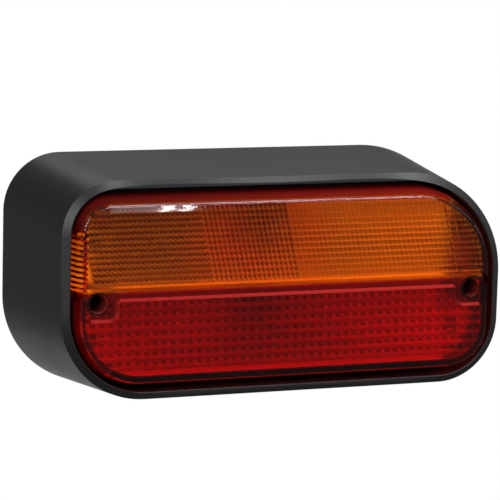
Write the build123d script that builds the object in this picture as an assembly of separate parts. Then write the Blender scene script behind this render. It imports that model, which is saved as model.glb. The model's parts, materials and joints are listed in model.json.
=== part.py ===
from build123d import *
from math import sqrt
import os

# Rear lamp with a deep hood, an amber indicator above a red tail and brake light.
# Millimetres. X to the right seen from the front, Y to the back, Z up.
# The origin is the centre of the rear face, which lies on the vehicle panel.

# Corner radii are listed top left, top right, bottom right, bottom left, seen from the front.

# Hood
hood_depth = 70.0
hood_front_size = (224.0, 103.6)
hood_front_radii = (25.5, 50.4, 30.7, 41.7)
hood_draft = (8.2, 5.0)
hood_back_size = tuple(size + 2 * draft for size, draft in zip(hood_front_size, hood_draft))
hood_back_radii = (27.6, 54.6, 33.2, 45.2)
hood_wall = 3.8
rim_bevel_width = 3.0
rim_bevel_depth = 2.4
rim_inner_round = 0.5
back_wall = 4.0
back_recess = 1.2
back_rim = 6.0
web_depth = 32.0
web_thickness = 2.0
web_x = 40.0

# Lens
lens_stand = 4.4
lens_front_y = -hood_depth - lens_stand
lens_side_depth = 7.4
lens_depth = 17.4
lens_root_y = lens_front_y + lens_side_depth
lens_foot_y = lens_front_y + lens_depth
lens_margin = (8.6, 10.2)
lens_front_size = tuple(size - 2 * margin for size, margin in zip(hood_front_size, lens_margin))
lens_half_width, lens_half_height = [size / 2 for size in lens_front_size]
lens_front_radii = (13.5, 38.0, 19.0, 29.5)
lens_root_spread = 3.3
lens_foot_spread = 3.8
lens_wall = 2.6
lens_face_thickness = 3.4
lens_edge_round = 4.9
weld_z = 0.4
amber_row_count = 13
amber_row_sag = 0.56
amber_rows_z = 3.3
amber_top_band = 2.16
amber_row_pitch = (lens_half_height - amber_rows_z - amber_top_band) / amber_row_count
red_row_count = 7
red_row_sag = 0.95
red_rows_z = -4.7
red_bottom_band = 4.42
red_row_pitch = (lens_half_height + red_rows_z - red_bottom_band) / red_row_count

# Groove between the lens halves, with a pocket at each lens screw
divide_top = 2.5
divide_low = -4.0
divide_depth = 1.6
divide_slope = 1.4
divide_round = 1.0
pocket_length = 17.6
pocket_x = lens_half_width - pocket_length
pocket_low = -13.4
pocket_round = 5.0

# Lens screws
screw_end = 7.8
screw_x = lens_half_width - screw_end
screw_z = -4.7
tube_length = 24.4
tube_end_y = lens_front_y + tube_length
tube_r = 6.6
tube_bore_r = 4.6
tube_floor = 2.5
screw_r = 2.0
screw_head_r = 3.9
screw_head_height = 2.6
screw_length = 14.0
crown_share = 0.3
cross_reach_share = 1.2
cross_width_share = 0.26
insert_r = 2.9
insert_length = 9.0
tower_r = 5.5

# Seal and lamp chamber
seal_height = 3.0
seat_y = lens_foot_y + seal_height

# Reflector carrier
carrier_gap = 1.5
carrier_wall = 1.8
carrier_front_y = seat_y
carrier_end = 19.4
carrier_half_width = lens_half_width - carrier_end
base_half_width = 16.0
base_share = 0.36
base_y = lens_front_y * base_share
flute_count = 28
flute_rise = 0.25
rear_step_count = 14
partition_thickness = 2.0
partition_setback = 4.6
partition_front_y = lens_front_y + partition_setback
carrier_rim_setback = 8.4
carrier_rim_y = lens_front_y + carrier_rim_setback
carrier_screw_end = 10.4
carrier_screw_drop = 19.6
carrier_screw_rise = 15.6
carrier_screw_x = lens_half_width - carrier_screw_end
carrier_screw_z = (lens_half_height - carrier_screw_drop, carrier_screw_rise - lens_half_height)
carrier_screw_r = 1.25
carrier_screw_head_r = 2.9
carrier_screw_head_height = 2.0
carrier_screw_length = 10.0
boss_r = 4.0

# Bulbs and sockets
lamp_drop = 20.6
lamp_z = lens_half_height - lamp_drop
cap_r = 7.5
cap_wall = 0.6
cap_floor = 2.0
cap_proud = 4.2
cap_front_y = base_y - cap_proud
cap_tail = 9.9
cap_back_y = base_y + cap_tail
cap_pin_r = 1.0
cap_pin_reach = 8.6
cap_pin_setback = 2.8
cap_pin_y = base_y + cap_pin_setback
pip_height = 1.1
glass_r = 12.6
glass_reach = 23.7
glass_centre_y = base_y - glass_reach
glass_neck_r = 6.5
glass_neck_seat = 2.0
glass_wall = 0.8
filament_reach = 23.2
filament_y = base_y - filament_reach
filament_half = 3.0
tail_filament_half = 1.5
tail_filament_reach = 19.2
tail_filament_y = base_y - tail_filament_reach
filament_r = 0.5
support_r = 0.4
socket_wall = 0.6
socket_proud = 2.2
socket_front_y = base_y - socket_proud
socket_tail = 15.3
socket_back_y = base_y + socket_tail
socket_lip_r = 6.4
flange_size = (31.0, 24.0)
sheet = 0.8
slot_width = 2.6
insulator_thickness = 2.0
contact_r = 1.7
tail_contact_x = 3.4
tab_width = 6.3
tab_length = 8.0
tab_reach = 24.0
strip_width = 3.2
contact_strip_setback = 16.8
contact_strip_y = base_y + contact_strip_setback
rivet_r = 1.5
rivet_head_r = 2.6
rivet_head_height = 1.0
rivet_x = 11.8
earth_half_width = 4.0

# Rear mounting, cable entry and breather
stud_x = 76.0
stud_r = 3.0
stud_length = 22.0
stud_shoulder_r = 3.2
stud_head_flats = 10.0
stud_head_height = 4.0
stud_boss_r = 10.0
stud_pad_r = 12.0
entry_x = -42.0
entry_z = -22.0
entry_bore_r = 3.5
entry_hole_r = 7.0
entry_flange_r = 9.5
entry_nipple_r = 5.4
entry_nipple_y = -14.0
rubber_lip = 2.0
breather_x = 42.0
breather_z = -22.0
breather_hole_r = 3.0
breather_head_r = 5.0
breather_vent_r = 0.8

# Clearances
slip = 0.3
thread_fit = 0.1
press_fit = 0.05
clear = 0.6


def facing_front(y):
    """Work plane at depth y: local x is X, local y is Z."""
    return Plane(origin=(0, y, 0), x_dir=(1, 0, 0), z_dir=(0, -1, 0))


def outline(half_w, half_h, radii, y):
    """Rounded rectangle with four corner radii, as a face at depth y."""
    tl, tr, br, bl = radii
    edges = [
        Line((-half_w + tl, half_h), (half_w - tr, half_h)),
        CenterArc((half_w - tr, half_h - tr), tr, 90, -90),
        Line((half_w, half_h - tr), (half_w, -half_h + br)),
        CenterArc((half_w - br, -half_h + br), br, 0, -90),
        Line((half_w - br, -half_h), (-half_w + bl, -half_h)),
        CenterArc((-half_w + bl, -half_h + bl), bl, -90, -90),
        Line((-half_w, -half_h + bl), (-half_w, half_h - tl)),
        CenterArc((-half_w + tl, half_h - tl), tl, 180, -90),
    ]
    return facing_front(y) * make_face(edges)


def rod(x, z, r, y_from, y_to):
    """Round bar along Y."""
    return facing_front(y_from) * Pos(x, z) * extrude(Circle(r), y_from - y_to)


def tube(x, z, r, bore_r, y_from, y_to):
    """Round tube along Y."""
    ring = Circle(r) - Circle(bore_r)
    return facing_front(y_from) * Pos(x, z) * extrude(ring, y_from - y_to)


def block(x_range, y_range, z_range):
    """Box between three pairs of limits."""
    sizes = [hi - lo for lo, hi in (x_range, y_range, z_range)]
    middles = [(hi + lo) / 2 for lo, hi in (x_range, y_range, z_range)]
    return Pos(*middles) * Box(*sizes)


def hood_section(y, inset):
    """Section of the drafted hood at depth y, drawn in by the inset."""
    t = -y / hood_depth
    half_w, half_h = [
        (b + (f - b) * t) / 2 - inset for f, b in zip(hood_front_size, hood_back_size)
    ]
    radii = [b + (f - b) * t - inset for f, b in zip(hood_front_radii, hood_back_radii)]
    return outline(half_w, half_h, radii, y)


def hood_body(y_back, inset):
    """Solid of the drafted hood from depth y_back to the rim."""
    return loft([hood_section(y_back, inset), hood_section(-hood_depth, inset)], ruled=True)


def lens_section(y, spread):
    """Section of the lens at depth y, grown from its front outline by the spread."""
    half_w, half_h = [size / 2 + spread for size in lens_front_size]
    return outline(half_w, half_h, [r + spread for r in lens_front_radii], y)


def lens_body(inset):
    """Solid of the lens from its foot to its front, drawn in by the inset on its sides and front."""
    foot = lens_section(lens_foot_y, lens_foot_spread - inset)
    root = lens_section(lens_root_y, lens_root_spread - inset)
    front = lens_section(lens_front_y + inset, -inset)
    return loft([foot, root, front], ruled=True)


def chamber_prism(inset, y_from, y_to):
    """Prism on the outline of the lens foot, drawn in by the inset."""
    face = lens_section(y_from, lens_foot_spread - inset)
    return extrude(face, amount=abs(y_to - y_from), dir=(0, 1 if y_to > y_from else -1, 0))


def mirrored_pair(x):
    return (-x, x)


def carrier_screw_points():
    return [(x, z) for x in mirrored_pair(carrier_screw_x) for z in carrier_screw_z]


# Housing
def hood_shell():
    shell = hood_body(0, 0) - hood_body(-back_wall, hood_wall)
    rim = shell.faces().sort_by(Axis.Y)[0]
    shell = chamfer(rim.outer_wire().edges(), rim_bevel_width, rim_bevel_depth, reference=rim)
    rim = shell.faces().filter_by(Plane.XZ).sort_by(Axis.Y)[0]
    return fillet(rim.inner_wires()[0].edges(), rim_inner_round)


def stiffeners():
    """Webs between hood and chamber wall."""
    depth = (-web_depth, -back_wall)
    half = web_thickness / 2
    reach = max(hood_back_size)
    webs = block((-reach, reach), depth, (-half, half))
    for x in mirrored_pair(web_x):
        webs += block((x - half, x + half), depth, (-reach, reach))
    space = hood_body(-back_wall, hood_wall) - chamber_prism(lens_wall / 2, 0, -hood_depth)
    return webs & space


def rear_recess():
    """Shallow recess in the rear face, with pads left round the studs."""
    recess = extrude(hood_section(0, back_rim), amount=back_recess, dir=(0, -1, 0))
    for x in mirrored_pair(stud_x):
        recess -= rod(x, 0, stud_pad_r, 0, -back_recess)
    return recess


def stud_head(x, clearance):
    hexagon = RegularPolygon((stud_head_flats + clearance) / 2, 6, major_radius=False)
    return facing_front(-back_wall) * Pos(x, 0) * extrude(hexagon, stud_head_height)


def housing():
    body = hood_shell()
    body += chamber_prism(0, -back_wall, seat_y) - chamber_prism(lens_wall, -back_wall, seat_y)
    body += stiffeners()
    for x in mirrored_pair(screw_x):
        body += rod(x, screw_z, tower_r, -back_wall, tube_end_y)
        body -= rod(x, screw_z, insert_r + press_fit, tube_end_y + insert_length, tube_end_y)
        body -= rod(x, screw_z, screw_r + slip, tube_end_y + screw_length, tube_end_y)
    for x, z in carrier_screw_points():
        top_y = carrier_front_y + carrier_wall
        body += rod(x, z, boss_r, -back_wall, top_y)
        body -= rod(x, z, carrier_screw_r + thread_fit, top_y + carrier_screw_length, top_y)
    body -= rear_recess()
    for x in mirrored_pair(stud_x):
        body += rod(x, 0, stud_boss_r, -back_wall, -back_wall - stud_head_height)
        body -= stud_head(x, slip)
        body -= rod(x, 0, stud_shoulder_r + slip, 0, -back_wall)
    body -= rod(entry_x, entry_z, entry_hole_r, 0, -back_wall)
    body -= rod(breather_x, breather_z, breather_hole_r, 0, -back_wall)
    return body


# Lens
def flute_edges(z_start, pitch, count, sag, y):
    """Row of arcs that bulge into the lamp."""
    edges = []
    for i in range(count):
        low = z_start + i * pitch
        edges.append(ThreePointArc((0, y, low), (0, y + sag, low + pitch / 2), (0, y, low + pitch)))
    return edges


def lens_cavity():
    """Inside of the lens: drawn in from the outside, with rows of flutes behind the face."""
    y = lens_front_y + lens_face_thickness
    back = lens_foot_y + lens_wall
    red_low = red_rows_z - red_row_pitch * red_row_count
    amber_high = amber_rows_z + amber_row_pitch * amber_row_count
    end = 2 * lens_half_height
    edges = flute_edges(red_low, red_row_pitch, red_row_count, red_row_sag, y)
    edges.append(Line((0, y, red_rows_z), (0, y, amber_rows_z)))
    edges += flute_edges(amber_rows_z, amber_row_pitch, amber_row_count, amber_row_sag, y)
    edges.append(Polyline((0, y, amber_high), (0, y, end), (0, back, end)))
    edges.append(Polyline((0, back, end), (0, back, -end), (0, y, -end), (0, y, red_low)))
    rows = extrude(make_face(edges), amount=lens_front_size[0], dir=(1, 0, 0), both=True)
    return rows & lens_body(lens_wall)


def divide_face(inset, y):
    """Outline of the groove with its pockets, drawn in by the inset, at depth y."""
    far = lens_front_size[0]
    top = divide_top - inset
    low = divide_low + inset
    floor = pocket_low + inset
    x = pocket_x + inset
    right = [(far, top), (far, floor), (x, floor), (x, low)]
    left = [(-u, v) for u, v in reversed(right)]
    face = make_face(Polyline(*right, *left, close=True))
    inner = [v for v in face.vertices() if abs(v.X) < far / 2]
    ends = [v for v in inner if v.Y < low]
    face = fillet(ends, pocket_round - inset)
    turns = [v for v in face.vertices() if abs(abs(v.X) - x) < slip and abs(v.Y - low) < slip]
    return facing_front(y) * fillet(turns, divide_round + inset)


def divide_groove():
    """Groove with sloping walls, which widens to a pocket at each screw and runs round onto the ends."""
    floor_y = lens_front_y + divide_depth
    groove = loft([divide_face(divide_slope, floor_y), divide_face(0, lens_front_y)], ruled=True)
    reach = lens_front_size[0]
    height = (divide_low + divide_slope, divide_top - divide_slope)
    return groove + (block((-reach, reach), (lens_front_y, lens_root_y), height) - lens_body(divide_depth))


def lens():
    body = lens_body(0)
    front = body.faces().sort_by(Axis.Y)[0]
    body = fillet(front.outer_wire().edges(), lens_edge_round)
    body -= lens_cavity()
    floor_y = lens_front_y + divide_depth
    for x in mirrored_pair(screw_x):
        body += rod(x, screw_z, tube_r, tube_end_y, floor_y)
    body -= divide_groove()
    for x in mirrored_pair(screw_x):
        body -= rod(x, screw_z, tube_bore_r, tube_end_y - tube_floor, lens_front_y)
        body -= rod(x, screw_z, screw_r + slip, tube_end_y, lens_front_y)
    return body


def lens_half(whole, keep):
    return split(whole, bisect_by=Plane.XY.offset(weld_z), keep=keep)


def lens_seal():
    return chamber_prism(0, seat_y, lens_foot_y) - chamber_prism(lens_wall, seat_y, lens_foot_y)


# Screws and inserts
def pan_screw(x, z, seat, r, head_r, head_height, length):
    """Pan head screw with a cross recess, driven in from the front."""
    screw = rod(x, z, r, seat + length, seat)
    head = rod(x, z, head_r, seat, seat - head_height)
    crown = head.edges().filter_by(GeomType.CIRCLE).sort_by(Axis.Y)[0]
    screw += chamfer(crown, head_height * crown_share)
    reach = head_r * cross_reach_share
    width = head_r * cross_width_share
    cross = Rectangle(reach, width) + Rectangle(width, reach)
    recess_y = seat - head_height / 2
    return screw - facing_front(recess_y) * Pos(x, z) * extrude(cross, head_height)


def lens_screws():
    seat = tube_end_y - tube_floor
    return [
        pan_screw(x, screw_z, seat, screw_r, screw_head_r, screw_head_height, screw_length)
        for x in mirrored_pair(screw_x)
    ]


def screw_inserts():
    return [
        tube(x, screw_z, insert_r, screw_r + thread_fit, tube_end_y + insert_length, tube_end_y)
        for x in mirrored_pair(screw_x)
    ]


def reflector_screws():
    return [
        pan_screw(x, z, carrier_front_y, carrier_screw_r, carrier_screw_head_r,
                  carrier_screw_head_height, carrier_screw_length)
        for x, z in carrier_screw_points()
    ]


# Reflector carrier
def carrier_depth(x):
    """Depth of the trough at x: flat behind the bulb, then a parabola out to the front edge."""
    past = max(0.0, abs(x) - base_half_width)
    reach = carrier_half_width - base_half_width
    return base_y + (carrier_front_y - base_y) * (past / reach) ** 2


def carrier_curve():
    """Front side of the trough with its upright flutes, from left to right."""
    pitch = (carrier_half_width - base_half_width) / flute_count
    right = [(base_half_width, base_y)]
    for i in range(flute_count):
        middle = base_half_width + (i + 0.5) * pitch
        end = base_half_width + (i + 1) * pitch
        right.append((middle, carrier_depth(middle) - flute_rise))
        right.append((end, carrier_depth(end)))
    left = [(-x, y) for x, y in reversed(right)]
    return left + right


def carrier_rear_curve():
    """Rear side of the trough, from right to left."""
    steps = rear_step_count
    reach = carrier_half_width - base_half_width
    right = [base_half_width + reach * i / steps for i in range(steps + 1)]
    xs = list(reversed(right)) + [-x for x in right]
    return [(x, carrier_depth(x) + carrier_wall) for x in xs]


def upright_prism(points, half_height):
    face = make_face(Polyline(*[(x, y, 0) for x, y in points], close=True))
    return extrude(face, amount=half_height, dir=(0, 0, 1), both=True)


def reflector():
    """Trough with upright flutes, side flanges, top and bottom walls and the partition."""
    tall = lens_front_size[1]
    front = carrier_front_y
    edge_x = lens_half_width + lens_foot_spread
    rear = carrier_rear_curve()
    sheet_points = [(-edge_x, front)] + carrier_curve() + [(edge_x, front)]
    sheet_points += [(edge_x, front + carrier_wall)] + rear + [(-edge_x, front + carrier_wall)]
    inset = lens_wall + carrier_gap
    outer = chamber_prism(inset, 0, lens_front_y)
    body = upright_prism(sheet_points, tall) & outer
    rim = [(-carrier_half_width, carrier_rim_y), (carrier_half_width, carrier_rim_y)]
    trough = upright_prism(rim + rear, tall)
    body += trough & (outer - chamber_prism(inset + carrier_wall, 0, lens_front_y))
    wall_front = [(-carrier_half_width, partition_front_y), (carrier_half_width, partition_front_y)]
    body += upright_prism(wall_front + rear, partition_thickness / 2)
    for z in (lamp_z, -lamp_z):
        body -= rod(0, z, cap_r + slip + socket_wall + slip, 0, lens_front_y)
        for x in mirrored_pair(rivet_x):
            body -= rod(x, z, rivet_r + slip, 0, lens_front_y)
    for x in mirrored_pair(screw_x):
        body -= rod(x, screw_z, tube_r + clear, 0, lens_front_y)
    for x, z in carrier_screw_points():
        body -= rod(x, z, carrier_screw_r + slip, 0, lens_front_y)
    return body


# Bulbs
def bulb_glass(z):
    """Blown glass, open at its neck."""
    neck_y = cap_front_y + glass_neck_seat
    r = glass_r
    neck = glass_neck_r
    meet = sqrt(r ** 2 - neck ** 2)
    inner = r - glass_wall
    inner_neck = neck - glass_wall
    inner_meet = sqrt(inner ** 2 - inner_neck ** 2)
    c = glass_centre_y
    profile = [
        Line((neck, neck_y), (neck, c + meet)),
        ThreePointArc((neck, c + meet), (r * sqrt(0.75), c - r / 2), (0, c - r)),
        Line((0, c - r), (0, c - inner)),
        ThreePointArc((0, c - inner), (inner * sqrt(0.75), c - inner / 2), (inner_neck, c + inner_meet)),
        Line((inner_neck, c + inner_meet), (inner_neck, neck_y)),
        Line((inner_neck, neck_y), (neck, neck_y)),
    ]
    return Pos(0, 0, z) * revolve(make_face(profile), axis=Axis.Y)


def bulb_cap(z, pip_xs):
    """Bayonet cap with its side pins and contact pips."""
    cap = rod(0, z, cap_r, cap_back_y, cap_front_y)
    cap -= rod(0, z, cap_r - cap_wall, cap_back_y - cap_floor, cap_front_y)
    pin_length = cap_pin_reach - cap_r + cap_wall / 2
    pin = Cylinder(cap_pin_r, pin_length, align=(Align.CENTER, Align.CENTER, Align.MIN))
    for side in (-1, 1):
        cap += Pos(side * (cap_r - cap_wall / 2), cap_pin_y, z) * Rot(0, side * 90, 0) * pin
    for x in pip_xs:
        cap += rod(x, z, contact_r, cap_back_y + pip_height, cap_back_y)
    return cap


def filament(z, y, spread):
    """Coil between two support wires that stand on the cap floor."""
    floor_y = cap_back_y - cap_floor
    wire = rod(0, z, support_r, floor_y, y)
    loop = Pos(-spread, 0, 0) * wire + Pos(spread, 0, 0) * wire
    return loop + Pos(0, y, z) * Rot(0, 90, 0) * Cylinder(filament_r, 2 * spread + 2 * support_r)


# Sockets and contacts
def socket(z):
    """Sheet metal sleeve with bayonet slots, back lip and riveted flange."""
    bore = cap_r + slip
    flange_y = base_y + carrier_wall
    body = tube(0, z, bore + socket_wall, bore, socket_back_y, socket_front_y)
    body += tube(0, z, bore + socket_wall, socket_lip_r, socket_back_y, socket_back_y - sheet)
    plate = Rectangle(*flange_size) - Circle(bore)
    for x in mirrored_pair(rivet_x):
        plate -= Pos(x, 0) * Circle(rivet_r + slip)
    body += facing_front(flange_y + sheet) * Pos(0, z) * extrude(plate, sheet)
    slot_end = cap_pin_y + slot_width / 2
    half = slot_width / 2
    reach = bore + 2 * socket_wall
    return body - block((-reach, reach), (socket_front_y, slot_end), (z - half, z + half))


def insulator(z, pip_xs):
    back = socket_back_y - sheet
    disc = rod(0, z, cap_r, back, back - insulator_thickness)
    for x in pip_xs:
        disc -= rod(x, z, contact_r + slip, back, back - insulator_thickness)
    return disc


def contact(x, z, side):
    """Contact rivet with its strip and tab, led out to one side."""
    depth = (contact_strip_y - sheet, contact_strip_y)
    half = strip_width / 2
    tab_half = tab_width / 2
    body = rod(x, z, contact_r, contact_strip_y - sheet, cap_back_y + pip_height)
    body += block(sorted((x - side * contact_r, side * tab_reach)), depth, (z - half, z + half))
    tab_x = sorted((side * (tab_reach - tab_length), side * tab_reach))
    return body + block(tab_x, depth, (z - tab_half, z + tab_half))


def earth_strip():
    y = base_y + carrier_wall + sheet
    end = lamp_z - cap_r - slip - socket_wall - slip
    half = tab_width / 2
    strip = block((-earth_half_width, earth_half_width), (y, y + sheet), (-end, end))
    return strip + block((0, tab_reach), (y, y + sheet), (-half, half))


def socket_rivets():
    """Rivets through carrier and socket flange, headed on both sides."""
    front = base_y
    back = base_y + carrier_wall + sheet
    rivets = []
    for z in (lamp_z, -lamp_z):
        for x in mirrored_pair(rivet_x):
            rivet = rod(x, z, rivet_r, back, front)
            rivet += rod(x, z, rivet_head_r, front, front - rivet_head_height)
            rivets.append(rivet + rod(x, z, rivet_head_r, back + rivet_head_height, back))
    return rivets


# Rear fittings
def cable_grommet():
    wall_back = -back_recess
    body = rod(entry_x, entry_z, entry_flange_r, 0, wall_back)
    body += rod(entry_x, entry_z, entry_hole_r - slip, wall_back, -back_wall)
    body += rod(entry_x, entry_z, entry_flange_r, -back_wall, -back_wall - rubber_lip)
    body += rod(entry_x, entry_z, entry_nipple_r, -back_wall - rubber_lip, entry_nipple_y)
    return body - rod(entry_x, entry_z, entry_bore_r, 0, entry_nipple_y)


def breather_plug():
    wall_back = -back_recess
    body = rod(breather_x, breather_z, breather_head_r, 0, wall_back)
    body += rod(breather_x, breather_z, breather_hole_r - slip, wall_back, -back_wall)
    inner_end = -back_wall - rubber_lip
    body += rod(breather_x, breather_z, breather_hole_r + slip, -back_wall, inner_end)
    return body - rod(breather_x, breather_z, breather_vent_r, 0, inner_end)


def mounting_studs():
    studs = []
    for x in mirrored_pair(stud_x):
        stud = stud_head(x, 0) + rod(x, 0, stud_shoulder_r, 0, -back_wall)
        studs.append(stud + rod(x, 0, stud_r, stud_length, 0))
    return studs


def save(name, shape):
    if isinstance(shape, list):
        shape = Compound(children=[piece.solid() for piece in shape])
    export_step(shape, f"parts/{name}.step")


os.makedirs("parts", exist_ok=True)
tail_pips = mirrored_pair(tail_contact_x)
whole_lens = lens()
save("housing", housing())
save("lens_amber", lens_half(whole_lens, Keep.TOP))
save("lens_red", lens_half(whole_lens, Keep.BOTTOM))
save("lens_seal", lens_seal())
save("lens_screws", lens_screws())
save("screw_inserts", screw_inserts())
save("reflector", reflector())
save("reflector_screws", reflector_screws())
save("indicator_bulb_glass", bulb_glass(lamp_z))
save("indicator_bulb_cap", bulb_cap(lamp_z, (0,)))
save("indicator_filament", filament(lamp_z, filament_y, filament_half))
save("indicator_socket", socket(lamp_z))
save("indicator_insulator", insulator(lamp_z, (0,)))
save("indicator_contact", contact(0, lamp_z, 1))
save("tail_bulb_glass", bulb_glass(-lamp_z))
save("tail_bulb_cap", bulb_cap(-lamp_z, tail_pips))
save("tail_filaments", [
    filament(-lamp_z, filament_y, filament_half),
    filament(-lamp_z, tail_filament_y, tail_filament_half),
])
save("tail_socket", socket(-lamp_z))
save("tail_insulator", insulator(-lamp_z, tail_pips))
save("tail_contacts", [contact(x, -lamp_z, side) for x, side in zip(tail_pips, (-1, 1))])
save("earth_strip", earth_strip())
save("socket_rivets", socket_rivets())
save("cable_grommet", cable_grommet())
save("breather_plug", breather_plug())
save("mounting_studs", mounting_studs())
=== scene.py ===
import json
from math import atan2, cos, floor, pi, radians, sin, tan

import bmesh
import bpy
from mathutils import Matrix, Vector


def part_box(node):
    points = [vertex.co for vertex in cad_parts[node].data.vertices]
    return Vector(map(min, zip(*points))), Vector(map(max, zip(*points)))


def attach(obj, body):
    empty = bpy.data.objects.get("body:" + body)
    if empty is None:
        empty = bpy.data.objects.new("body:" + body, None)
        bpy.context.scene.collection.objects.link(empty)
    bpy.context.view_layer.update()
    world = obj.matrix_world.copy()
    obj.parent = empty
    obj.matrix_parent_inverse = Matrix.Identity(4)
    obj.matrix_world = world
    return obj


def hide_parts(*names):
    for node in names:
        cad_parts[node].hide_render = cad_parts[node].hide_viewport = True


# Rear lamp with a deep hood: amber indicator over red tail and brake light.
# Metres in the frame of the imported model: X right seen from the front, Y back, Z up.

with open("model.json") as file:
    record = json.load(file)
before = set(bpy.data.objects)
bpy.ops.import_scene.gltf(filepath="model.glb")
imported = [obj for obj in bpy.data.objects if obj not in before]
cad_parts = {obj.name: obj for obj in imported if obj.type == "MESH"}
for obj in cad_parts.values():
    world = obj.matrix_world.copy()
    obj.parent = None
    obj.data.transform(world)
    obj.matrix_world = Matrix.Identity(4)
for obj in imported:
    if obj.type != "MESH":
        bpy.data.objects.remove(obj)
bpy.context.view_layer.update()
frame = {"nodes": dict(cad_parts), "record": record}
nodes = frame["nodes"]
mm = 0.001
sides = (-1, 1)

# Steps of round shapes
corner_steps = 8
rod_sides = 48
floor_sides = 96

# Lens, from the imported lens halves
amber_low, amber_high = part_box("lens_amber")
red_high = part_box("lens_red")[1]
lens_front_y = amber_low.y
lens_foot_y = amber_high.y
foot_spread = 3.8 * mm
root_spread = 3.3 * mm
root_y = lens_front_y + 7.4 * mm
half_width = amber_high.x - foot_spread
half_height = amber_high.z - foot_spread
weld_z = red_high.z
weld_gap = 0.04 * mm
lens_radii = {(-1, 1): 13.5 * mm, (1, 1): 38.0 * mm, (1, -1): 19.0 * mm, (-1, -1): 29.5 * mm}
lens_wall = 2.6 * mm
inner_y = lens_front_y + 3.4 * mm
edge_r = 1.5 * mm
edge_steps = 6
crown_turn = radians(14)
crown_width = 4.2 * mm
front_inset = 0.3 * mm
front_drop = 0.8 * mm
smooth_angle = radians(30)

# Ribs of the left skirt, where the outline faces left
rib_step = 1.25 * mm
rib_depth = 0.9 * mm
rib_facing = -0.9

# Cutters and fillers stand past what they cut or fill
past = 1 * mm
past_ends = 12 * mm

# Divide, pockets and screw tubes
divide_top = 2.5 * mm
divide_low = -4.0 * mm
divide_depth = 1.6 * mm
divide_slope = 1.4 * mm
end_groove_x = half_width - 2.5 * mm
end_groove_y = root_y + 4 * mm
pocket_x = half_width - 17.6 * mm
pocket_low = -13.4 * mm
pocket_round = 5.0 * mm
pocket_mouth_round = 1.0 * mm
screw_x = half_width - 7.8 * mm
screw_z = -4.7 * mm
screw_hole_r = 2.3 * mm
tube_r = 5.4 * mm
tube_bore_r = 4.6 * mm
tube_end_y = red_high.y
tube_floor_y = tube_end_y - 2.5 * mm
# Dark sleeves in the bores, as painted shade
sleeve_gap = 0.02 * mm
sleeve_bore_r = tube_bore_r - 0.3 * mm
sleeve_front_y = lens_front_y + divide_depth + 1.2 * mm

# Optics behind the lens face
row_cuts = 6
amber_rows = 13
amber_rows_z = 3.3 * mm
amber_row_pitch = 2.78 * mm
amber_column_pitch = 2.4 * mm
amber_column_cuts = 4
amber_rows_past = 2
amber_pillows_width = 2 * (half_width + 14 * mm)
amber_middle_z = 21.0 * mm
column_lean = tan(radians(13))
red_rows = 7
red_rows_z = -4.7 * mm
red_row_pitch = 4.64 * mm
red_row_sag = 0.2 * mm
red_dash_share = 0.27
red_dash_sag = 0.15 * mm
red_column_pitch = 4.4 * mm
red_column_cuts = 8
red_column_sag = 0.2 * mm
red_rows_below = 3
red_rows_above = 2
red_pillows_width = 2 * (half_width + 10 * mm)

# Amber zones from the left: start at mid height, depth of the rows, depth of the columns
amber_zones = [
    (-101.5 * mm, 0.3 * mm, 0.25 * mm),
    (-42.7 * mm, 0.3 * mm, 0.25 * mm),
    (1.0 * mm, 0.35 * mm, 0.3 * mm),
    (83.3 * mm, 0.3 * mm, 0.0),
    (87.0 * mm, 0.35 * mm, 0.3 * mm),
]

# Ridges and painted shade on the borders of the plain strip, the fourth zone, and painted shade past it
end_borders = [zone[0] for zone in amber_zones[3:]]
end_ridge = 1.1 * mm
end_ridge_half = amber_column_pitch / 8
end_shade = 0.5
border_half = 0.9 * mm
border_shade = 0.8

# Zones of the lens finish
slope_skin = 0.05 * mm
groove_skin = 0.1 * mm
optics_y = (inner_y - 0.2 * mm, inner_y + 1.2 * mm)
optics_end_x = half_width - 3 * mm
divide_end_x = half_width - 4 * mm
skirt_y = lens_front_y + 3 * mm
skirt_top_z = half_height - 2.2 * mm
skirt_end_z = 28.5 * mm
skirt_fade = 4 * mm
low_skirt_x = half_width - 14 * mm
low_skirt_y = lens_front_y + 4.8 * mm
# Share of the dark red diffuse skirt coat, which carries painted light
skirt_diffuse_share = 0.85

# Zones of the carrier finish
carrier_half_width = half_width - 19.4 * mm
partition_half = 1.2 * mm
# The next two: where the wall colour stands as painted shade
tube_shade_z = -16 * mm
right_end_shade_x = carrier_half_width + 6.5 * mm
top_edge_z = half_height - 7 * mm
corner_z = 29 * mm
# Left flange made pale as painted light
painted_light_flange_x = half_width - 11 * mm
pale_low_z = half_height - 4.5 * mm
# Band of painted shade by the partition
partition_shade_z = -8.5 * mm
facing_least = 0.1
# Painted light in the metal: where it fades across and rises upwards
left_fade_x = -45 * mm
right_fade_x = 10 * mm
metal_fade = 33.33 * mm
right_rise_z = 8 * mm
right_rise = 28.57 * mm

# Camera, from a fit to the photograph
camera_place = Vector((-485.7, -1230.6, 222.5)) * mm
camera_yaw = radians(21.859)
camera_pitch = radians(9.310)
camera_roll = radians(1.508)
focal_pixels = 2692.2
image_pixels = 500
sensor_width = 36.0
camera_reach = 20.0

# Studio
floor_z = -1.20
floor_r = 0.25
lamp_middle = (0, 0, 0)
glint_spot = (-0.07, -0.07, 0.04)
room_grey = 0.12
backdrop_x = -0.25
backdrop_y = 0.55
backdrop_z = (-0.5, 0.06)


# Mesh tools
def new_object(name, bm):
    mesh = bpy.data.meshes.new(name)
    bm.normal_update()
    bm.to_mesh(mesh)
    bm.free()
    obj = bpy.data.objects.new(name, mesh)
    bpy.context.scene.collection.objects.link(obj)
    return obj


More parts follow.
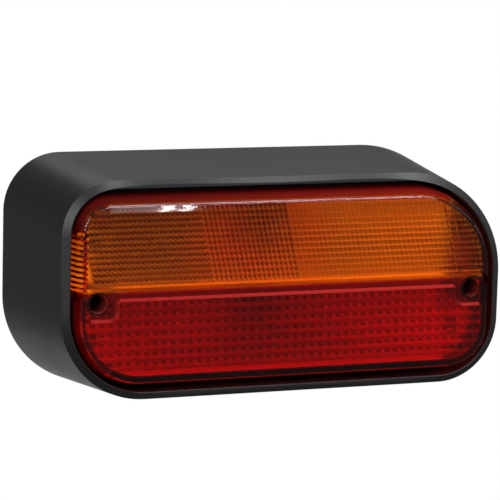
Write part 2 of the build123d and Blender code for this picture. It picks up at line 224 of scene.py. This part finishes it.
def boolean(obj, operation, *tools):
    """Joins, cuts or intersects obj with the tools, which are used up."""
    for tool in tools:
        step = obj.modifiers.new(operation, "BOOLEAN")
        step.operation = operation
        step.solver = "MANIFOLD"
        step.object = tool
    depsgraph = bpy.context.evaluated_depsgraph_get()
    mesh = bpy.data.meshes.new_from_object(obj.evaluated_get(depsgraph))
    obj.modifiers.clear()
    old = obj.data
    obj.data = mesh
    bpy.data.meshes.remove(old)
    for tool in tools:
        spent = tool.data
        bpy.data.objects.remove(tool)
        bpy.data.meshes.remove(spent)
    return obj


def block(name, low, high):
    bm = bmesh.new()
    middle = (Vector(low) + Vector(high)) / 2
    size = Vector(high) - Vector(low)
    place = Matrix.Translation(middle) @ Matrix.Diagonal((*size, 1))
    bmesh.ops.create_cube(bm, size=1, matrix=place)
    return new_object(name, bm)


def screw_rods(name, r, y_from, y_to):
    """Two round bars along Y, one on the axis of each lens screw."""
    rods = []
    for side in sides:
        bm = bmesh.new()
        middle = Matrix.Translation((side * screw_x, (y_from + y_to) / 2, screw_z))
        bmesh.ops.create_cone(bm, cap_ends=True, segments=rod_sides, radius1=r, radius2=r,
                              depth=abs(y_to - y_from), matrix=middle @ Matrix.Rotation(pi / 2, 4, "X"))
        rods.append(new_object(name, bm))
    return rods


# Lens body
def outward(point):
    """Outward direction of the lens outline at a point on it or on any outline beside it."""
    for (side_x, side_z), r in lens_radii.items():
        dx = point.x - side_x * (half_width - r)
        dz = point.z - side_z * (half_height - r)
        if dx * side_x > 0 and dz * side_z > 0:
            return Vector((dx, 0, dz)).normalized()
    if half_width - abs(point.x) < half_height - abs(point.z):
        return Vector((1 if point.x > 0 else -1, 0, 0))
    return Vector((0, 0, 1 if point.z > 0 else -1))


def lens_plate(bm, spread, y):
    """Face on the lens outline, grown by the spread; its round corners have steps as fine as the ribs."""
    w = half_width + spread
    h = half_height + spread
    corners = {side: bm.verts.new((side[0] * w, y, side[1] * h)) for side in lens_radii}
    bm.faces.new(corners.values())
    for side, r in lens_radii.items():
        r += spread
        steps = max(corner_steps, round(r * pi / 2 / rib_step))
        bmesh.ops.bevel(bm, geom=[corners[side]], offset=r, segments=steps, profile=0.5,
                        affect="VERTICES", material=-1)
    bm.faces.ensure_lookup_table()
    return bm.faces[0]


def rib_plate(bm, plate):
    """Notches the left side of the plate above the divide, where the skirt has ribs."""
    for edge in [e for e in plate.edges if e.calc_length() > 2 * rib_step]:
        cuts = round(edge.calc_length() / rib_step) - 1
        bmesh.ops.subdivide_edges(bm, edges=[edge], cuts=cuts)
    bm.faces.ensure_lookup_table()
    plate = bm.faces[0]
    for v in list(plate.verts)[::2]:
        way = outward(v.co)
        if way.x < rib_facing and v.co.z > 0:
            v.co -= way * rib_depth
    return plate


def draw_to(bm, face, y, inward=0):
    """Extrudes the face to depth y and draws its outline in; gives the new end face."""
    made = bmesh.ops.extrude_face_region(bm, geom=[face, *face.edges])["geom"]
    end = [g for g in made if isinstance(g, bmesh.types.BMFace)][0]
    for v in end.verts:
        v.co -= outward(v.co) * inward
        v.co.y = y
    return end


def edge_profile(rise):
    """Steps in and forward from the lens root: up the sloping side, round the edge and over the crown."""
    slope = pi / 2 - atan2(root_spread, rise)
    crown_r = crown_width / sin(crown_turn)
    fall = crown_r * (1 - cos(crown_turn)) + edge_r * (cos(crown_turn) - cos(slope))
    forward = rise - fall
    inward = forward / tan(slope)
    points = [(inward, forward)]
    for r, start, end in ((edge_r, slope, crown_turn), (crown_r, crown_turn, 0)):
        for step in range(edge_steps):
            turn, next_turn = [start + (end - start) * (step + k) / edge_steps for k in (0, 1)]
            inward += r * (sin(turn) - sin(next_turn))
            forward += r * (cos(next_turn) - cos(turn))
            points.append((inward, forward))
    return points


def outer_body(name, inset):
    """Closed body of the lens from foot to crowned face, drawn in by the inset."""
    bm = bmesh.new()
    front_y = lens_front_y + inset
    foot = lens_plate(bm, foot_spread - inset, lens_foot_y)
    front = draw_to(bm, foot, root_y, foot_spread - root_spread)
    reach = 0
    for inward, forward in edge_profile(root_y - front_y):
        front = draw_to(bm, front, root_y - forward, inward - reach)
        reach = inward
    bmesh.ops.inset_region(bm, faces=[front], thickness=front_inset, use_even_offset=True)
    for v in bm.verts:
        v.co.z -= front_drop * max(0, root_y - v.co.y) / (root_y - front_y)
    bmesh.ops.recalc_face_normals(bm, faces=bm.faces)
    return new_object(name, bm)


def inner_body():
    """Closed body of the space inside the lens, with the ribs of its left side."""
    bm = bmesh.new()
    foot = rib_plate(bm, lens_plate(bm, foot_spread - lens_wall, lens_foot_y))
    root = draw_to(bm, foot, root_y, foot_spread - root_spread)
    draw_to(bm, root, lens_front_y + lens_wall, root_spread)
    bmesh.ops.recalc_face_normals(bm, faces=bm.faces)
    return new_object("inside", bm)


# Lens optics
def bulge(share):
    """Height of one pillow along a row or column: 0 on its borders, 1 in its middle."""
    part = share - floor(share)
    return 1 - (2 * part - 1) ** 2


def amber_depth(x, z):
    """Depth of the amber pillows, with a ridge on each border of the plain strip."""
    along = x + column_lean * (z - amber_middle_z)
    row = (z - amber_rows_z) / amber_row_pitch
    zones = [zone for zone in amber_zones if along > zone[0]]
    if not zones or not 0 < row < amber_rows:
        return 0
    if min(abs(along - border) for border in end_borders) < end_ridge_half:
        return end_ridge
    start, row_sag, column_sag = zones[-1]
    return row_sag * bulge(row) + column_sag * bulge((along - start) / amber_column_pitch)


def red_depth(x, z):
    """Depth of the red bands, each with a row of small pillows along its middle."""
    row = (red_rows_z - z) / red_row_pitch
    if not 0 < row < red_rows:
        return 0
    off_middle = (row - floor(row) - 0.5) / red_dash_share
    dash = max(0, 1 - off_middle ** 2)
    return red_row_sag * bulge(row) + dash * (red_dash_sag + red_column_sag * bulge(x / red_column_pitch))


def pillow_block(name, low_z, width, column_pitch, column_cuts, rows, row_pitch, lean, depth_at):
    """Block that fills the lens from behind; its front carries the optics."""
    bm = bmesh.new()
    columns = round(width / column_pitch)
    height = rows * row_pitch
    shear = Matrix.Identity(4)
    shear[0][2] = -lean
    size = Matrix.Diagonal((columns * column_pitch, 1, height, 1))
    centre = Matrix.Translation((0, inner_y, low_z + height / 2))
    upright = Matrix.Rotation(pi / 2, 4, "X")
    bmesh.ops.create_grid(bm, x_segments=columns * column_cuts, y_segments=rows * row_cuts, size=0.5,
                          matrix=centre @ shear @ size @ upright)
    for v in bm.verts:
        v.co.y = inner_y + depth_at(v.co.x, v.co.z)
    made = bmesh.ops.extrude_face_region(bm, geom=list(bm.faces))["geom"]
    for v in [g for g in made if isinstance(g, bmesh.types.BMVert)]:
        v.co.y = lens_foot_y + past
    bmesh.ops.recalc_face_normals(bm, faces=bm.faces)
    return new_object(name, bm)


# Lens halves
def divide_cutter():
    """Groove between the halves and the two pockets at its ends, with sloping walls."""
    bm = bmesh.new()
    far = half_width + past_ends
    points = [(-far, divide_top), (far, divide_top), (far, pocket_low), (pocket_x, pocket_low),
              (pocket_x, divide_low), (-pocket_x, divide_low), (-pocket_x, pocket_low), (-far, pocket_low)]
    corners = [bm.verts.new((x, lens_front_y - past, z)) for x, z in points]
    bm.faces.new(corners)
    pocket_corners = (corners[3], corners[6])
    mouth_corners = (corners[4], corners[5])
    for pair, r in ((pocket_corners, pocket_round), (mouth_corners, pocket_mouth_round)):
        for corner in pair:
            bmesh.ops.bevel(bm, geom=[corner], offset=r, segments=corner_steps, profile=0.5,
                            affect="VERTICES", material=-1)
    bm.faces.ensure_lookup_table()
    face = draw_to(bm, bm.faces[0], lens_front_y)
    bmesh.ops.inset_region(bm, faces=[face], thickness=divide_slope, use_even_offset=True)
    for v in face.verts:
        v.co.y = lens_front_y + divide_depth
    bmesh.ops.recalc_face_normals(bm, faces=bm.faces)
    return new_object("divide_cutter", bm)


def end_groove(side):
    """The groove's run over one end of the lens."""
    low_z = divide_low + divide_slope
    high_z = divide_top - divide_slope
    near_x, far_x = sorted((side * end_groove_x, side * (half_width + past_ends)))
    slab = block("end_groove", (near_x, lens_front_y - past, low_z), (far_x, end_groove_y, high_z))
    return boolean(slab, "DIFFERENCE", outer_body("core", divide_depth))


def lens_half(name, low_z, high_z, pillows):
    """One coloured half of the lens, hollow, with its optics."""
    reach = 2 * half_width
    body = outer_body(name, 0)
    boolean(body, "INTERSECT", block("half", (-reach, -reach, low_z), (reach, reach, high_z)))
    return boolean(body, "DIFFERENCE", boolean(inner_body(), "INTERSECT", pillows))


def cut_divide(body, *bores):
    grooves = [end_groove(side) for side in sides]
    return boolean(body, "DIFFERENCE", divide_cutter(), *grooves, *bores)


def amber_half():
    low_z = amber_rows_z - amber_rows_past * amber_row_pitch
    rows = amber_rows + 2 * amber_rows_past
    pillows = pillow_block("amber_pillows", low_z, amber_pillows_width, amber_column_pitch, amber_column_cuts,
                           rows, amber_row_pitch, column_lean, amber_depth)
    return cut_divide(lens_half("amber_optic", weld_z + weld_gap, half_width, pillows))


def red_half():
    low_z = red_rows_z - (red_rows + red_rows_below) * red_row_pitch
    rows = red_rows + red_rows_below + red_rows_above
    pillows = pillow_block("red_pillows", low_z, red_pillows_width, red_column_pitch, red_column_cuts,
                           rows, red_row_pitch, 0, red_depth)
    body = lens_half("red_optic", -half_width, weld_z, pillows)
    boolean(body, "UNION", *screw_rods("tube", tube_r, tube_end_y, lens_front_y + divide_depth))
    bores = screw_rods("bore", tube_bore_r, tube_floor_y, lens_front_y - past)
    holes = screw_rods("hole", screw_hole_r, tube_end_y + past, lens_front_y)
    return cut_divide(body, *bores, *holes)


def bore_shade_sleeves():
    """Dark sleeves in the bores of the lens screws, put there as painted shade of the deep holes."""
    left, right = screw_rods("bore_shade_sleeves", tube_bore_r - sleeve_gap, sleeve_front_y, tube_floor_y)
    bores = screw_rods("bore", sleeve_bore_r, sleeve_front_y - past, tube_floor_y + past)
    return boolean(boolean(left, "UNION", right), "DIFFERENCE", *bores)


# Shader tools
def feed(tree, slot, value):
    """Links a socket to a value, or sets it to a plain number or colour."""
    if isinstance(value, Value):
        tree.links.new(value.socket, slot)
    else:
        slot.default_value = (*value, 1) if slot.type == "RGBA" else value


class Value:
    """A shader socket that adds its own maths nodes."""

    def __init__(self, tree, socket):
        self.tree = tree
        self.socket = socket

    def maths(self, operation, other, swap=False):
        node = self.tree.nodes.new("ShaderNodeMath")
        node.operation = operation
        for slot, value in zip(node.inputs, (other, self) if swap else (self, other)):
            feed(self.tree, slot, value)
        return Value(self.tree, node.outputs[0])

    def __add__(self, other):
        return self.maths("ADD", other)

    def __radd__(self, other):
        return self.maths("ADD", other, True)

    def __sub__(self, other):
        return self.maths("SUBTRACT", other)

    def __rsub__(self, other):
        return self.maths("SUBTRACT", other, True)

    def __mul__(self, other):
        return self.maths("MULTIPLY", other)

    def __rmul__(self, other):
        return self.maths("MULTIPLY", other, True)

    def above(self, limit):
        return self.maths("GREATER_THAN", limit)

    def between(self, low, high):
        return self.above(low) * (1 - self.above(high))

    def size(self):
        return self.maths("ABSOLUTE", 0)

    def fraction(self):
        return self.maths("FRACT", 0)

    def most(self, other):
        return self.maths("MAXIMUM", other)

    def ramp(self, start, width):
        """0 at the start, 1 one width on, and so on either way."""
        return (self - start) * (1 / width)

    def stripe(self, centre, half):
        """1 on the centre, down to 0 at half away from it and beyond."""
        return (1 - (self - centre).size() * (1 / half)).most(0)

    def toward(self, other, share):
        return self + (other - self) * share


class Finish:
    """A material, or the world, and its node tree."""

    def __init__(self, name, kind="Material"):
        store = bpy.data.materials if kind == "Material" else bpy.data.worlds
        self.owner = store.new(name)
        self.owner.use_nodes = True
        self.tree = self.owner.node_tree
        self.tree.nodes.clear()
        self.output = self.tree.nodes.new("ShaderNodeOutput" + kind)

    def node(self, kind, sockets=None, settings=None, out=0):
        """Adds a node: its settings first, then the values or links of its sockets, by name or number."""
        node = self.tree.nodes.new("ShaderNode" + kind)
        for key, value in (settings or {}).items():
            setattr(node, key, value)
        for key, value in (sockets or {}).items():
            feed(self.tree, node.inputs[key], value)
        return Value(self.tree, node.outputs[out])

    def surface(self, shader):
        feed(self.tree, self.output.inputs["Surface"], shader)
        return self.owner

    def inside(self, volume):
        feed(self.tree, self.output.inputs["Volume"], volume)

    def principled(self, **sockets):
        return self.node("BsdfPrincipled", {key.replace("_", " "): value for key, value in sockets.items()})

    def blend(self, factor, first, second):
        """Shader between two shaders."""
        return self.node("MixShader", {0: factor, 1: first, 2: second})

    def tint(self, factor, first, second):
        """Colour between two colours."""
        return self.node("Mix", {0: factor, 6: first, 7: second}, {"data_type": "RGBA"}, out=2)

    def ray(self, kind):
        return self.node("LightPath", out=f"Is {kind} Ray")

    def place(self):
        return self.node("TexCoord", out="Object")

    def noise(self, scale, detail=3.0):
        return self.node("TexNoise", {"Vector": self.place(), "Scale": scale, "Detail": detail})

    def axes(self, vector):
        return [self.node("SeparateXYZ", {"Vector": vector}, out=axis) for axis in "XYZ"]

    def bump(self, height, distance, strength):
        return self.node("Bump", {"Height": height, "Distance": distance, "Strength": strength})


def grey(level):
    return (level, level, level)


# Finishes
def hood_finish():
    """Satin black moulding with a fine grain."""
    f = Finish("hood_plastic")
    cloud = f.noise(18.0)
    grain = f.noise(2600.0, 2.0)
    return f.surface(f.principled(
        Base_Color=f.tint(cloud, (0.010, 0.0105, 0.0115), (0.014, 0.0145, 0.0155)),
        Roughness=0.36 + cloud * 0.08 + grain * 0.04,
        Specular_IOR_Level=0.45,
        Normal=f.bump(grain, 0.04 * mm, 0.5),
    ))


def amber_painted_glints(x, z):
    """Painted glints and painted shade of the amber optics: slants at the left, uprights in the middle, rows
    at the right.

    Places in a pillow are shares of its width and height.
    """
    along = x + (z - amber_middle_z) * column_lean
    left_x, middle_x, right_x = [zone[0] for zone in amber_zones[:3]]
    in_middle = along.above(middle_x)
    in_right = along.above(right_x)
    zone_x = left_x + in_middle * (middle_x - left_x) + in_right * (right_x - middle_x)
    across = along.ramp(zone_x, amber_column_pitch).fraction()
    up = z.ramp(amber_rows_z, amber_row_pitch).fraction()

    # Painted highlights in each zone, painted light brighter upwards, painted shade between the strokes
    slant = up.stripe(0.6 - across * 0.35, 0.2)
    left_light = z.ramp(-30 * mm, 50 * mm)
    left = slant.most(up.stripe(0.42, 0.3) * 0.1) * left_light

    upright = across.stripe(0.42 - up * 0.25, 0.32) * (0.3 + up.stripe(0.4, 0.45) * 0.9)
    middle = upright.most(up.stripe(0.3, 0.3) * 0.3)

    row_line = up.stripe(0.22, 0.36)
    row_slant = up.stripe(0.87 - across * 0.5, 0.3) * 0.5
    plain = 0.1 + (z - 20 * mm).size() * (0.024 / mm)
    column_light = 0.75 + across.stripe(0.45, 0.4) * 0.4
    right_light = z.ramp(-25 * mm, 50 * mm)
    right = row_line.most(row_slant).most(plain) * right_light * column_light

    # Painted shade past the fourth zone and on the borders of the plain strip
    painted_glints = left.toward(middle, in_middle).toward(right, in_right)
    painted_glints = painted_glints * (1 - along.above(end_borders[1]) * end_shade)
    for border in end_borders:
        painted_glints = painted_glints * (1 - along.stripe(border, border_half) * border_shade)
    in_rows = z.between(amber_rows_z, amber_rows_z + amber_rows * amber_row_pitch) * along.above(left_x)
    return 1 - in_rows * (1 - painted_glints)


def red_painted_glints(x, z):
    """Painted glints and painted shade of the red optics: in each small pillow a painted highlight slant, a
    dark corner of painted shade and a painted highlight foot.

    Places in a pillow are shares of its width and height.
    """
    across = x.ramp(0, red_column_pitch).fraction()
    up = z.ramp(red_rows_z, red_row_pitch).fraction()
    slant = across.stripe(0.7 - up * 0.67, 0.26) * up.stripe(0.66, 0.34) * 1.6
    foot = up.stripe(0.42, 0.16) * 0.8
    corner = across.stripe(0.72, 0.3) * up.stripe(0.75, 0.22)
    gap = up.stripe(0.1, 0.25) * 0.4
    # Painted highlights in the slant and foot, painted shade in the corner and the gap
    painted_glints = 0.30 + slant.most(foot) * 0.75 - (corner + gap) * 0.28
    in_rows = z.between(red_rows_z - red_rows * red_row_pitch, red_rows_z)
    return 1 - in_rows * (1 - painted_glints)


def lens_finish(name, painted_glints, absorb, density, shadow, slope_painted_colour, slope_rough=0.0, slope_sheen_metal=0.0):
    """Clear tinted plastic, frosted over its optics and darker between their painted glints as painted shade;
    painted shade on the skirt, in the groove and in the pockets, a painted tone on the groove's sloping
    walls, and a dark red diffuse skirt share with painted light.

    Light that passes through it to the inside takes on the shadow colour.
    """
    f = Finish(name)
    x, y, z = f.axes(f.place())
    off_middle = x.size()
    optics = y.between(*optics_y) * (1 - off_middle.above(optics_end_x))
    sunk = y - lens_front_y
    divide = z.between(pocket_low, divide_top) * (1 - off_middle.above(divide_end_x))
    slope = divide * sunk.between(slope_skin, divide_depth - slope_skin)
    groove = divide * sunk.between(divide_depth - groove_skin, divide_depth + groove_skin)
    pockets = groove * off_middle.above(pocket_x)
    upper_end = off_middle.above(optics_end_x) * z.ramp(skirt_end_z, skirt_fade)
    upper_skirt = z.above(skirt_top_z).most(upper_end) * y.above(skirt_y)
    lower_skirt = (-1 * x).above(low_skirt_x) * (1 - z.above(divide_low)) * y.above(low_skirt_y)
    skirt = upper_skirt.most(lower_skirt)

    # Painted glints of the optics, with painted shade (0.05, 0.03, 0.03) between them
    colour = f.tint(1 - optics * (1 - painted_glints(x, z)), (0.05, 0.03, 0.03), grey(0.97))
    # Painted shade: the skirt, the groove and the pockets are darkened in colour; the sloping walls take the
    # slope's painted colour
    for zone, zone_colour in ((skirt, (0.62, 0.42, 0.40)), (groove, grey(0.45)), (pockets, grey(0.30)),
                              (slope, slope_painted_colour)):
        colour = f.tint(zone, colour, zone_colour)
    rough = 0.02 + f.noise(35.0) * 0.03 + optics * 0.36
    clear = f.principled(
        Base_Color=colour,
        Roughness=rough + slope * slope_rough if slope_rough else rough,
        Metallic=slope * slope_sheen_metal if slope_sheen_metal else 0.0,
        IOR=1.49,
        Transmission_Weight=1.0,
    )
    # Painted light: a dark red diffuse share on the skirt, darker at the left and lighter at the right
    skirt_painted_red = f.tint(x.ramp(-half_width, 2 * half_width), (0.085, 0.004, 0.003), (0.22, 0.007, 0.005))
    skirt_diffuse = f.principled(Base_Color=skirt_painted_red, Roughness=0.3)
    through = f.node("BsdfTransparent", {"Color": shadow})
    f.inside(f.node("VolumeAbsorption", {"Color": absorb, "Density": density}))
    return f.surface(f.blend(f.ray("Shadow"), f.blend(skirt * skirt_diffuse_share, clear, skirt_diffuse), through))


def metal_finish(name, dark, light, rough):
    f = Finish(name)
    cloud = f.noise(120.0)
    return f.surface(f.principled(
        Base_Color=f.tint(cloud, dark, light),
        Metallic=1.0,
        Roughness=rough + cloud * 0.12,
        Normal=f.bump(f.noise(1440.0), 0.02 * mm, 0.4),
    ))


def dull_finish(name, dark, light, rough):
    f = Finish(name)
    cloud = f.noise(60.0)
    return f.surface(f.principled(
        Base_Color=f.tint(cloud, dark, light),
        Roughness=rough + cloud * 0.15,
        Normal=f.bump(f.noise(1800.0), 0.04 * mm, 0.5),
    ))


def reflector_finish():
    """Metallised trough in a carrier with dark red upper walls and grey lower walls; the left flange is pale
    as painted light, the metal carries painted light, and the wall colour stands as painted shade around the
    screw tubes, at the right end and as an even grey band by the partition.
    """
    f = Finish("reflector_metal")
    cloud = f.noise(30.0)
    x, _, z = f.axes(f.place())
    off_middle = x.size()
    past_carrier = off_middle.above(carrier_half_width)
    upper = z.above(0)
    low = (-1 * z).above(pale_low_z)
    facing = f.axes(f.node("NewGeometry", out="True Normal"))[1].size().above(facing_least)
    partition = (1 - z.size().above(partition_half)) * (1 - past_carrier)
    corner = (-1 * x).above(carrier_half_width) * z.above(corner_z)

    trough = facing * (1 - partition) * (1 - corner)
    # Painted shade: the dark wall colour instead of metal around the screw tubes and at the right end of the
    # amber chamber
    trough = trough * (1 - past_carrier * z.above(tube_shade_z) * (1 - upper))
    trough = trough * (1 - x.above(right_end_shade_x) * upper) * (1 - z.above(top_edge_z))
    # Painted light: the left flange is made pale, below the top left corner
    painted_lit_flange = (-1 * x).above(painted_light_flange_x) * upper * (1 - corner)
    pale = (painted_lit_flange + low + partition * (1 - facing)).above(0.5)

    wall = f.tint(cloud, (0.22, 0.015, 0.009), (0.30, 0.021, 0.012))
    pale_colour = f.tint(low, f.tint(cloud, grey(0.86), grey(0.92)), grey(0.40))
    # Painted light in the metal: darker at the left, red in the middle of the amber chamber as painted red
    # light, lighter upwards at the right
    left_metal_painted_light = f.tint(x.ramp(left_fade_x, metal_fade), (0.36, 0.37, 0.37), (0.95, 0.26, 0.26))
    right_metal_painted_light = f.tint(z.ramp(right_rise_z, right_rise), grey(0.55), grey(1.0))
    amber_metal_painted_light = f.tint(x.ramp(right_fade_x, metal_fade), left_metal_painted_light, right_metal_painted_light)
    open_red = f.tint(x.ramp(-carrier_half_width, 2 * carrier_half_width), grey(0.48), grey(0.54))
    # Painted shade: an even grey band in the red metal next to the partition
    red_metal = f.tint(z.above(partition_shade_z), open_red, grey(0.50))
    metal = f.tint(upper, red_metal, amber_metal_painted_light)
    return f.surface(f.principled(
        Base_Color=f.tint(pale, f.tint(trough, wall, metal), pale_colour),
        Metallic=trough * (1 - pale) * upper * 0.25,
        Roughness=0.46 + cloud * 0.08,
    ))


def bulb_glass_finish():
    f = Finish("bulb_glass")
    return f.surface(f.principled(
        Base_Color=(0.98, 0.99, 1.0),
        Roughness=0.01 + f.noise(40.0) * 0.02,
        IOR=1.5,
        Transmission_Weight=1.0,
    ))


finishes = {
    "hood_plastic": hood_finish(),
    "amber_lens": lens_finish(
        "amber_lens", amber_painted_glints, absorb=(0.992, 0.845, 0.0), density=1150.0, shadow=(0.98, 0.8, 0.35),
        # painted shade on the groove's sloping walls
        slope_painted_colour=(0.50, 0.22, 0.20),
    ),
    "red_lens": lens_finish(
        "red_lens", red_painted_glints, absorb=(0.986, 0.0, 0.06), density=1500.0, shadow=(0.95, 0.3, 0.3),
        # painted red sheen on the groove's sloping walls: dark red rough metal that catches the lamps as a
        # bright red line
        slope_painted_colour=(0.30, 0.012, 0.010), slope_rough=0.5, slope_sheen_metal=0.85,
    ),
    "seal_rubber": dull_finish("seal_rubber", grey(0.010), grey(0.018), 0.6),
    "screw_steel": metal_finish("screw_steel", grey(0.05), grey(0.09), 0.36),
    "brass": metal_finish("brass", (0.62, 0.43, 0.16), (0.74, 0.54, 0.24), 0.28),
    "reflector_metal": reflector_finish(),
    "bulb_glass": bulb_glass_finish(),
    "filament_wire": metal_finish("filament_wire", grey(0.2), grey(0.3), 0.4),
    "socket_steel": metal_finish("socket_steel", (0.45, 0.45, 0.43), (0.58, 0.58, 0.56), 0.35),
    "insulator_board": dull_finish("insulator_board", (0.10, 0.045, 0.02), (0.16, 0.07, 0.03), 0.5),
}
stud_zinc = metal_finish("stud_zinc", (0.50, 0.50, 0.48), (0.64, 0.64, 0.62), 0.38)
# Dark red sleeves in the screw bores: painted shade
bore_shade_red = dull_finish("sleeve", (0.10, 0.012, 0.008), (0.16, 0.020, 0.012), 0.3)


# Pieces
def coat(obj, finish):
    obj.data.materials.clear()
    obj.data.materials.append(finish)


def smooth_shading(obj):
    mesh = obj.data
    mesh.polygons.foreach_set("use_smooth", [True] * len(mesh.polygons))
    mesh.set_sharp_from_angle(angle=smooth_angle)


for part in frame["record"]["subparts"]:
    node = part["node"]
    coat(nodes[node], stud_zinc if node == "mounting_studs" else finishes[part["material_slot"]])

for piece, node, slot in ((amber_half(), "lens_amber", "amber_lens"), (red_half(), "lens_red", "red_lens")):
    smooth_shading(piece)
    coat(piece, finishes[slot])
    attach(piece, "root")
    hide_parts(node)

bore_shades = bore_shade_sleeves()
coat(bore_shades, bore_shade_red)
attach(bore_shades, "root")


# Studio
def studio_floor():
    bm = bmesh.new()
    place = Matrix.Translation((0, 0, floor_z))
    bmesh.ops.create_circle(bm, cap_ends=True, segments=floor_sides, radius=floor_r, matrix=place)
    floor_disc = new_object("studio_floor", bm)
    f = Finish("floor_paper")
    paper = f.tint(f.noise(6.0), grey(0.72), grey(0.76))
    coat(floor_disc, f.surface(f.principled(Base_Color=paper, Roughness=0.9)))


def softbox(name, place, target, size, radiance, turn=0, colour=(1, 1, 1)):
    """Rectangular lamp; the radiance is that of its face, where 1 is white."""
    light = bpy.data.lights.new(name, "AREA")
    light.shape = "RECTANGLE"
    light.size, light.size_y = size
    light.energy = radiance * pi * size[0] * size[1]
    light.color = colour
    obj = bpy.data.objects.new(name, light)
    obj.location = place
    way = Vector(target) - Vector(place)
    aim = way.to_track_quat("-Z", "Y").to_matrix() @ Matrix.Rotation(radians(turn), 3, "Z")
    obj.rotation_euler = aim.to_euler()
    bpy.context.scene.collection.objects.link(obj)


def studio_world():
    """Dim room; a white backdrop behind the object and for the camera all round."""
    f = Finish("studio", "World")
    x, y, z = f.axes(f.node("TexCoord", out="Generated"))
    backdrop = y.above(backdrop_y) * x.above(backdrop_x) * z.between(*backdrop_z)
    camera_ray, glossy_ray, through_ray = [f.ray(kind) for kind in ("Camera", "Glossy", "Transmission")]
    mirrored = glossy_ray.most(through_ray) * backdrop
    room = f.node("Background", {"Color": grey(room_grey)})
    white = f.node("Background", {"Color": grey(1)})
    bpy.context.scene.world = f.surface(f.blend(camera_ray.most(mirrored), room, white))


def photo_camera():
    level_ahead = Vector((sin(camera_yaw), cos(camera_yaw), 0))
    ahead = cos(camera_pitch) * level_ahead - sin(camera_pitch) * Vector((0, 0, 1))
    level = Vector((cos(camera_yaw), -sin(camera_yaw), 0))
    upright = level.cross(ahead)
    right = cos(camera_roll) * level + sin(camera_roll) * upright
    up = cos(camera_roll) * upright - sin(camera_roll) * level
    data = bpy.data.cameras.new("camera")
    data.sensor_width = sensor_width
    data.lens = focal_pixels / image_pixels * sensor_width
    data.clip_end = camera_reach
    obj = bpy.data.objects.new("camera", data)
    obj.matrix_world = Matrix.Translation(camera_place) @ Matrix((right, up, -ahead)).transposed().to_4x4()
    bpy.context.scene.collection.objects.link(obj)
    bpy.context.scene.camera = obj


studio_floor()
softbox("top_box", (0.3, 0.95, 1.1), lamp_middle, (1.2, 0.4), 3.3)
softbox("front_box", (0.48, -0.70, 1.10), lamp_middle, (0.9, 0.6), 9, colour=(0.94, 0.97, 1.0))
softbox("line_box", (0.51, -1.2, 0.51), lamp_middle, (0.6, 0.08), 14)
softbox("left_box", (-1.1, -0.95, 0.45), lamp_middle, (0.8, 0.8), 5.5)
softbox("corner_box", (0.0, -1.36, 0.49), (-0.09, -0.07, 0.04), (0.5, 0.05), 10)
softbox("end_box", (1.22, -0.62, 0.40), (0.1, -0.07, 0.03), (0.8, 0.35), 2, turn=-40)
softbox("haze_box", (0.343, -1.27, 0.26), glint_spot, (0.1, 0.4), 2)
softbox("left_strip", (0.3646, -1.255, 0.25), glint_spot, (0.009, 0.4), 35, turn=-3.5)
softbox("right_strip", (0.3847, -1.251, 0.25), glint_spot, (0.008, 0.4), 35, turn=-3.5)
studio_world()
photo_camera()
bpy.context.scene.view_settings.view_transform = "Standard"
